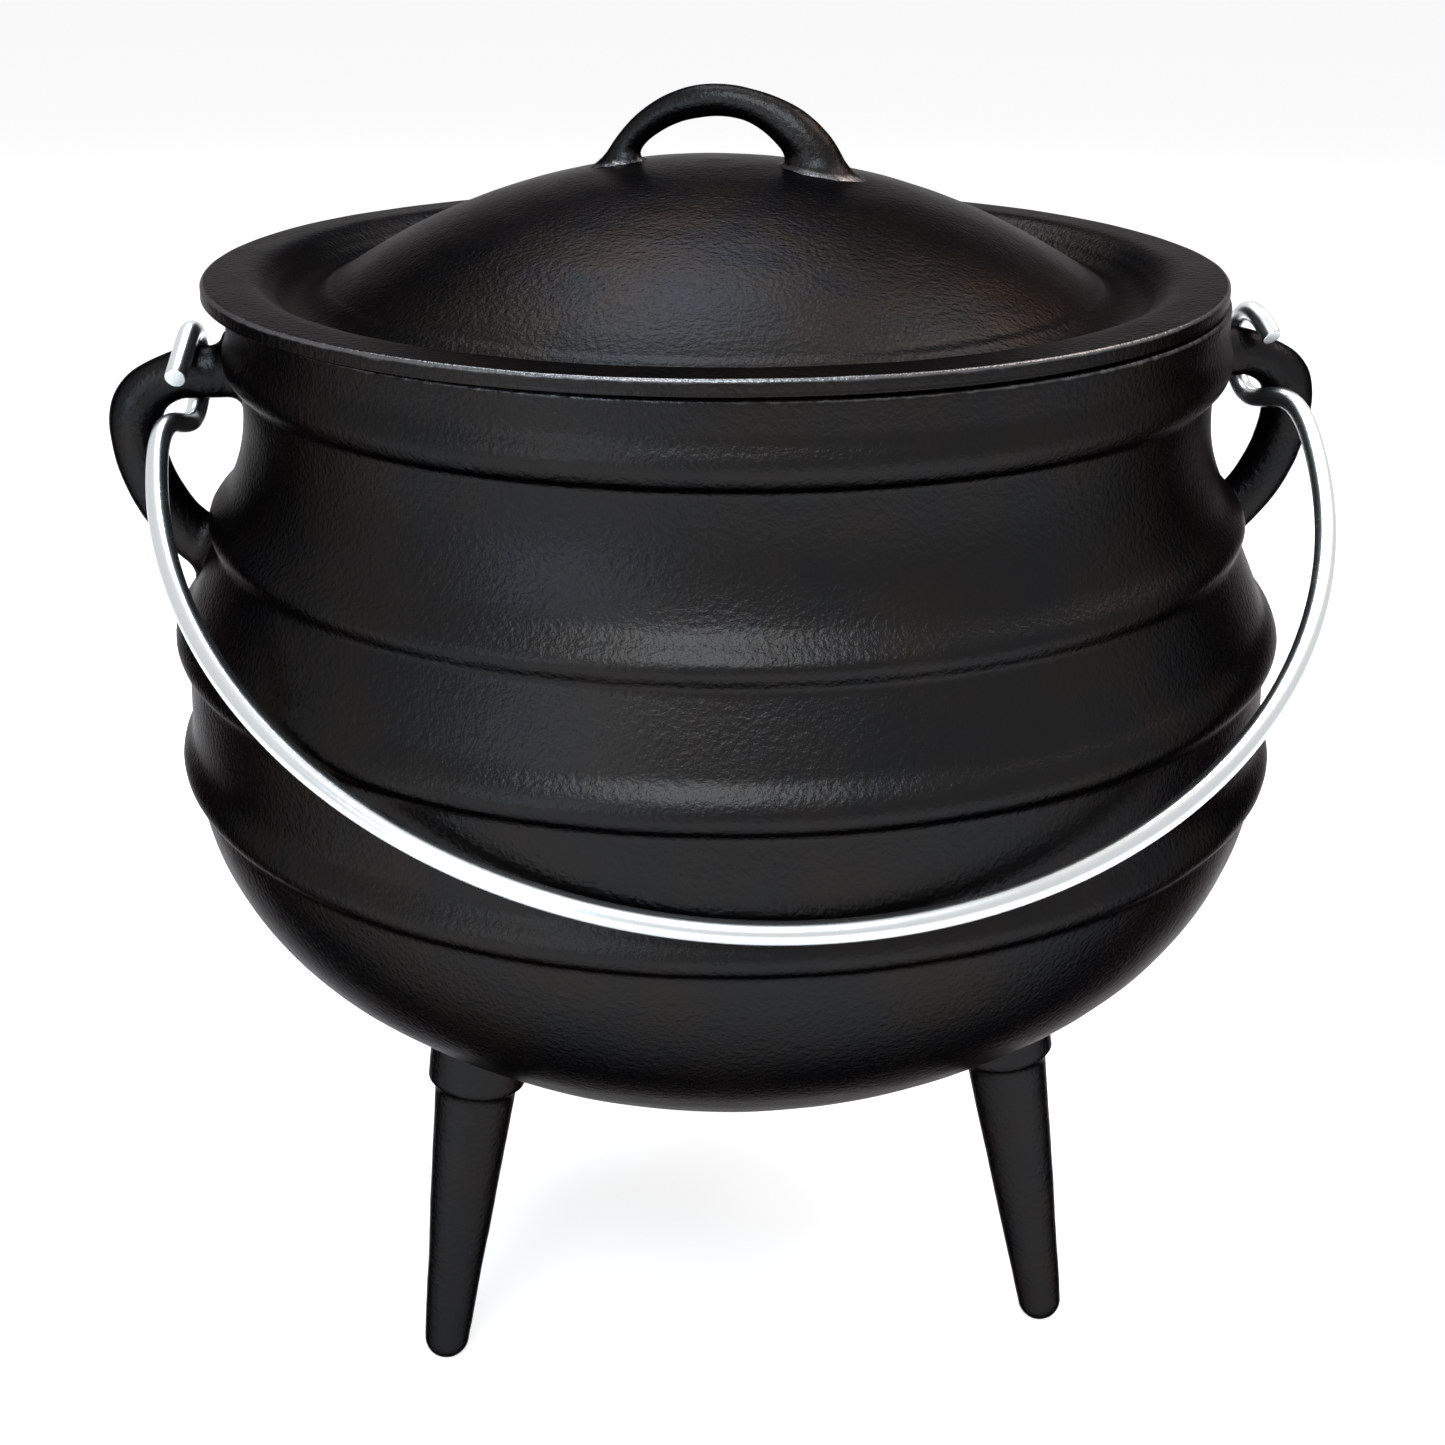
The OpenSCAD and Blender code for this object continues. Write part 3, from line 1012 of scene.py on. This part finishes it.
@dataclass
class Studio:
    """Camera, lamps, floor and backdrop."""

    azimuth: float = 6.503
    elevation: float = 22.884
    roll: float = 0.269
    distance: float = 658.42
    aim_x: float = -0.97
    aim_z: float = 197.71
    focal_pixels: float = 2033.46
    clip_start: float = 0.01
    ambient: float = 0.2
    paper: float = 0.35
    shadowed: float = 0.8
    glow: float = 0.78
    floor_half: float = 30.0
    lamps: tuple[Lamp, ...] = (
        Lamp("overhead", 6.0, 118.0, 0.75, 22.0, (0.88, 0.94, 1.0)),
        Lamp("skylight", -14.0, 54.0, 0.8, 21.0, (0.84, 0.93, 1.0)),
        Lamp("low_window", -40.0, 12.0, 0.7, 5.0, (0.76, 0.88, 1.0)),
        Lamp("warm_side", 112.0, 50.0, 0.65, 11.0, (1.0, 0.87, 0.78)),
    )

    def camera(self) -> None:
        """Puts the camera at the photograph's viewpoint."""
        data = bpy.data.cameras.new("viewpoint")
        data.sensor_width = SENSOR
        data.lens = self.focal_pixels / FRAME_PIXELS * SENSOR
        data.clip_start = self.clip_start
        camera = bpy.data.objects.new("viewpoint", data)
        bpy.context.scene.collection.objects.link(camera)
        up = math.radians(self.elevation)
        height = self.aim_z + self.distance * math.sin(up)
        back = Vector((self.aim_x, -self.distance * math.cos(up), height)) * MM
        camera.matrix_world = (
            Matrix.Rotation(-math.radians(self.azimuth), 4, "Z")
            @ Matrix.Translation(back)
            @ Matrix.Rotation(math.pi / 2 - up, 4, "X")
            @ Matrix.Rotation(math.radians(self.roll), 4, "Z")
        )
        bpy.context.scene.camera = camera

    def world(self) -> None:
        """Makes the backdrop: white wherever it is seen, straight, in polished metal or through glass."""
        world = bpy.data.worlds.new("room")
        bpy.context.scene.world = world
        world.use_nodes = True
        n = Nodes(world.node_tree, "ShaderNodeOutputWorld")
        room = n.node("ShaderNodeBackground", {}, {"Color": (self.ambient,) * 3})
        white = n.node("ShaderNodeBackground", {}, {"Color": (1.0, 1.0, 1.0)})
        n.surface(n.node("ShaderNodeMixShader", {}, {0: n.seen(), 1: room, 2: white}))

    def floor(self) -> None:
        """Lays the floor, which is white wherever it is seen, apart from the pot's soft shadow."""
        bm = bmesh.new()
        bmesh.ops.create_grid(bm, x_segments=1, y_segments=1, size=self.floor_half)
        mesh = bpy.data.meshes.new("floor")
        bm.to_mesh(mesh)
        bm.free()
        floor = bpy.data.objects.new("floor", mesh)
        bpy.context.scene.collection.objects.link(floor)
        f = Finish("floor_paper")
        paper = f.node("ShaderNodeBsdfDiffuse", {}, {"Color": (self.paper,) * 3})
        white = f.node("ShaderNodeBsdfDiffuse", {}, {"Color": (self.shadowed,) * 3})
        glow = f.node("ShaderNodeEmission", {}, {"Color": (self.glow,) * 3})
        lit = f.node("ShaderNodeAddShader", {}, {0: white, 1: glow})
        f.surface(f.node("ShaderNodeMixShader", {}, {0: f.seen(), 1: paper, 2: lit}))
        floor.data.materials.append(f.material)

    def build(self) -> None:
        """Sets up everything that isn't part of the object."""
        self.camera()
        for lamp in self.lamps:
            lamp.build()
        self.world()
        self.floor()
        bpy.context.scene.view_settings.view_transform = "Standard"


def place_piece(
    piece: bpy.types.Object, material: bpy.types.Material, body: Body, node: str
) -> None:
    """Gives a piece its finish and ties it to the frame.

    Args:
        piece: The finished object.
        material: Its material.
        body: The body that it rides on.
        node: The CAD node that it stands for.
    """
    piece.data.materials.append(material)
    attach(piece, body.value)
    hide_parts(node)
    LOG.info("%s: %d faces, on %s", piece.name, len(piece.data.polygons), body.value)


def main() -> None:
    """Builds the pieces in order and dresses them."""
    logging.basicConfig(level=logging.INFO, format="%(name)s: %(message)s")
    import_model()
    pot = Pot()
    place_piece(pot.build(), CastIron("pot_iron_finish").build(), Body.POT, "pot")
    lid = Lid(pot)
    place_piece(lid.build(), CastIron("lid_iron_finish").build(), Body.POT, "lid")
    bail = Bail(pot)
    place_piece(bail.build(), BrightZinc("bail_zinc_finish").build(), Body.BAIL, "bail")
    Studio().build()


if __name__ == "__main__":
    main()
